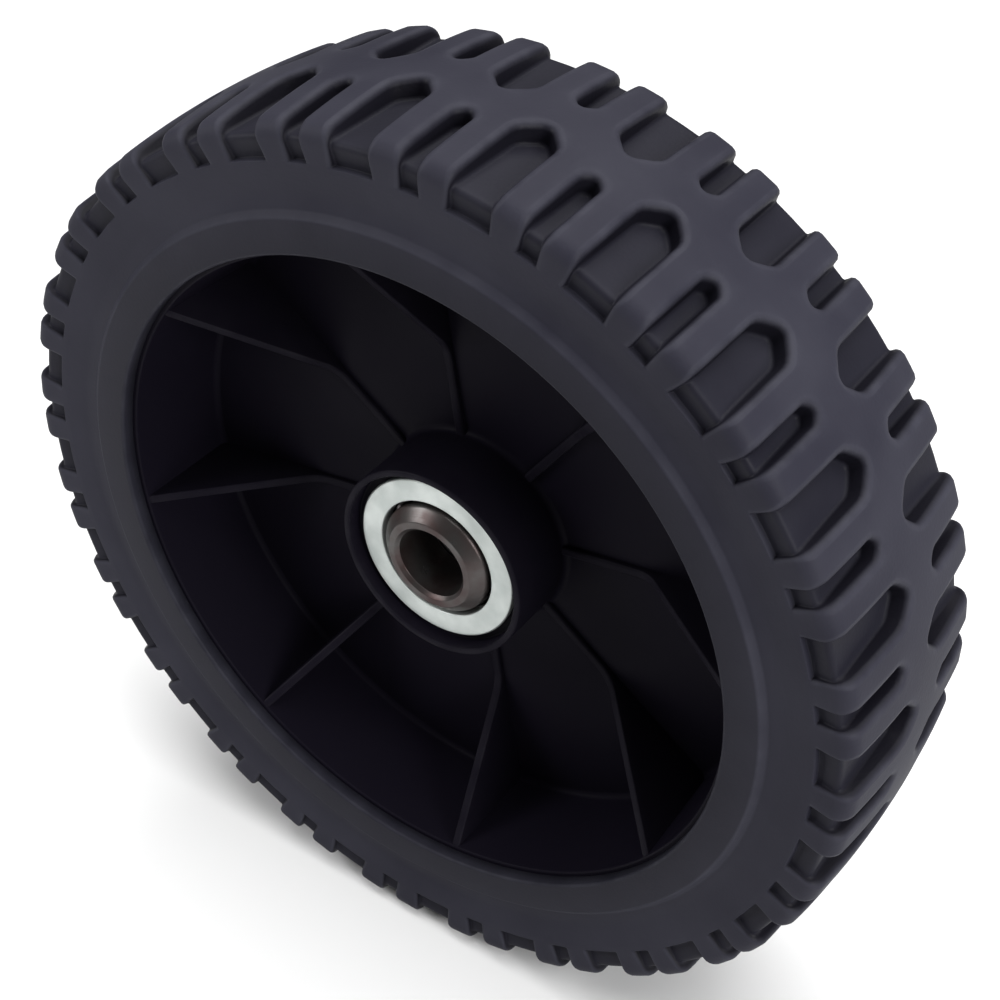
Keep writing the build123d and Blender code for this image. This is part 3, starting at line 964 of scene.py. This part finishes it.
class WHEEL_OT_inner_races(bpy.types.Operator):
    """Makes the two inner races with the coned noses that stand out of the flanges"""

    bl_idname = "wheel.inner_races"
    bl_label = "Inner races"

    def execute(self, context):
        sizes = context.scene.wheel_bearings
        finish = steel_finish("oiled_steel", sizes.race, sizes.oil, metallic=0.8, rough=(0.26, 0.42),
                              rings=3200.0)
        for end in ("front", "rear"):
            outline = placed(inner_race_outline(sizes), end == "rear")
            piece = turned_piece(end + "_nosed_race", outline, INNER_RACE_TURNS)
            dress(piece, finish, end + "_bearing_inner_race", "axle_side")
        return {"FINISHED"}


class WHEEL_OT_balls(bpy.types.Operator):
    """Makes the two sets of bearing balls"""

    bl_idname = "wheel.balls"
    bl_label = "Balls"

    def execute(self, context):
        sizes = context.scene.wheel_bearings
        finish = steel_finish("ball_steel", sizes.ball, sizes.oil, metallic=1.0, rough=(0.12, 0.22),
                              rings=900.0)
        for end in ("front", "rear"):
            piece = new_piece(end + "_ball_ring", *ball_set(sizes.ball_count, end == "rear"))
            dress(piece, finish, end + "_bearing_balls", end + "_ball_set")
        return {"FINISHED"}


class WHEEL_OT_sleeve(bpy.types.Operator):
    """Makes the drawn tube between the inner races"""

    bl_idname = "wheel.sleeve"
    bl_label = "Spacer sleeve"

    def execute(self, context):
        sizes = context.scene.wheel_bearings
        finish = steel_finish("drawn_steel", sizes.sleeve, sizes.oil, metallic=0.9, rough=(0.3, 0.45),
                              rings=2200.0)
        piece = turned_piece("spacer_tube", placed(sleeve_outline(), False), SLEEVE_TURNS)
        dress(piece, finish, "spacer_sleeve", "axle_side")
        return {"FINISHED"}


class WHEEL_OT_stage(bpy.types.Operator):
    """Sets the pale floor, the soft lights, the white surroundings and the camera"""

    bl_idname = "wheel.stage"
    bl_label = "Stage"

    def execute(self, context):
        sizes = context.scene.wheel_stage
        scene = context.scene
        corners = np.array([(-1, -1), (1, -1), (1, 1), (-1, 1)]) * FLOOR_REACH
        corners = np.column_stack([corners, np.full(4, CAD_BOX[0][2])])
        floor = new_piece("pale_floor", corners, np.array([[0, 1, 2, 3]]))
        material = start_finish("pale_floor", {"Base Color": colour(sizes.floor), "Roughness": 0.9,
                                               "Specular IOR Level": 0.0})[0]
        floor.data.materials.append(material)

        world = bpy.data.worlds.new("white_room")
        world.use_nodes = True
        background = world.node_tree.nodes["Background"].inputs
        background["Color"].default_value = (1.0, 1.0, 1.0, 1.0)
        background["Strength"].default_value = sizes.room
        scene.world = world
        for name, (place, size) in LAMPS.items():
            data = bpy.data.lights.new(name, "AREA")
            data.shape = "SQUARE"
            data.size = size
            data.energy = getattr(sizes, name)
            lamp = bpy.data.objects.new(name, data)
            lamp.location = place
            lamp.rotation_euler = Vector(place).to_track_quat("Z", "Y").to_euler()
            scene.collection.objects.link(lamp)

        ahead = Vector((math.sin(sizes.azimuth) * math.cos(sizes.elevation),
                        -math.cos(sizes.azimuth) * math.cos(sizes.elevation), math.sin(sizes.elevation)))
        right = Vector((math.cos(sizes.azimuth), math.sin(sizes.azimuth), 0.0))
        up = ahead.cross(right)
        data = bpy.data.cameras.new("camera")
        data.sensor_width = SENSOR_WIDTH
        data.lens = sizes.lens
        data.clip_start = CLIP_START
        camera = bpy.data.objects.new("camera", data)
        turn = Matrix((right, up, ahead)).transposed().to_4x4()
        turn.translation = ahead * sizes.distance + right * sizes.shift_right + up * sizes.shift_up
        camera.matrix_world = turn
        scene.collection.objects.link(camera)
        scene.camera = camera
        scene.view_settings.view_transform = "Standard"
        return {"FINISHED"}


class WHEEL_PT_panel(bpy.types.Panel):
    """Lists the steps that make the wheel, each with its settings"""

    bl_idname = "WHEEL_PT_panel"
    bl_label = "Tiller wheel"
    bl_space_type = "VIEW_3D"
    bl_region_type = "UI"
    bl_category = "Wheel"

    def draw(self, context):
        for group, steps in STEPS.items():
            column = self.layout.column(align=True)
            for step in steps:
                column.operator(step.bl_idname)
            settings = getattr(context.scene, group)
            for name in settings.__annotations__:
                column.prop(settings, name)


SETTINGS = {"wheel_tyre": TyreSettings, "wheel_rim": RimSettings, "wheel_bearings": BearingSettings,
            "wheel_stage": StageSettings}
STEPS = {"wheel_tyre": [WHEEL_OT_tyre], "wheel_rim": [WHEEL_OT_rim],
         "wheel_bearings": [WHEEL_OT_outer_races, WHEEL_OT_inner_races, WHEEL_OT_balls, WHEEL_OT_sleeve],
         "wheel_stage": [WHEEL_OT_stage]}
OPERATORS = [step for steps in STEPS.values() for step in steps]


def register():
    for made in (*SETTINGS.values(), *OPERATORS, WHEEL_PT_panel):
        bpy.utils.register_class(made)
    for name, group in SETTINGS.items():
        setattr(bpy.types.Scene, name, PointerProperty(type=group))


def unregister():
    for name in SETTINGS:
        delattr(bpy.types.Scene, name)
    for made in (WHEEL_PT_panel, *reversed(OPERATORS), *reversed(SETTINGS.values())):
        bpy.utils.unregister_class(made)


def main():
    """Makes every piece and the stage."""
    register()
    bpy.ops.wheel.tyre()
    bpy.ops.wheel.rim()
    bpy.ops.wheel.outer_races()
    bpy.ops.wheel.inner_races()
    bpy.ops.wheel.balls()
    bpy.ops.wheel.sleeve()
    bpy.ops.wheel.stage()


if __name__ == "__main__":
    main()
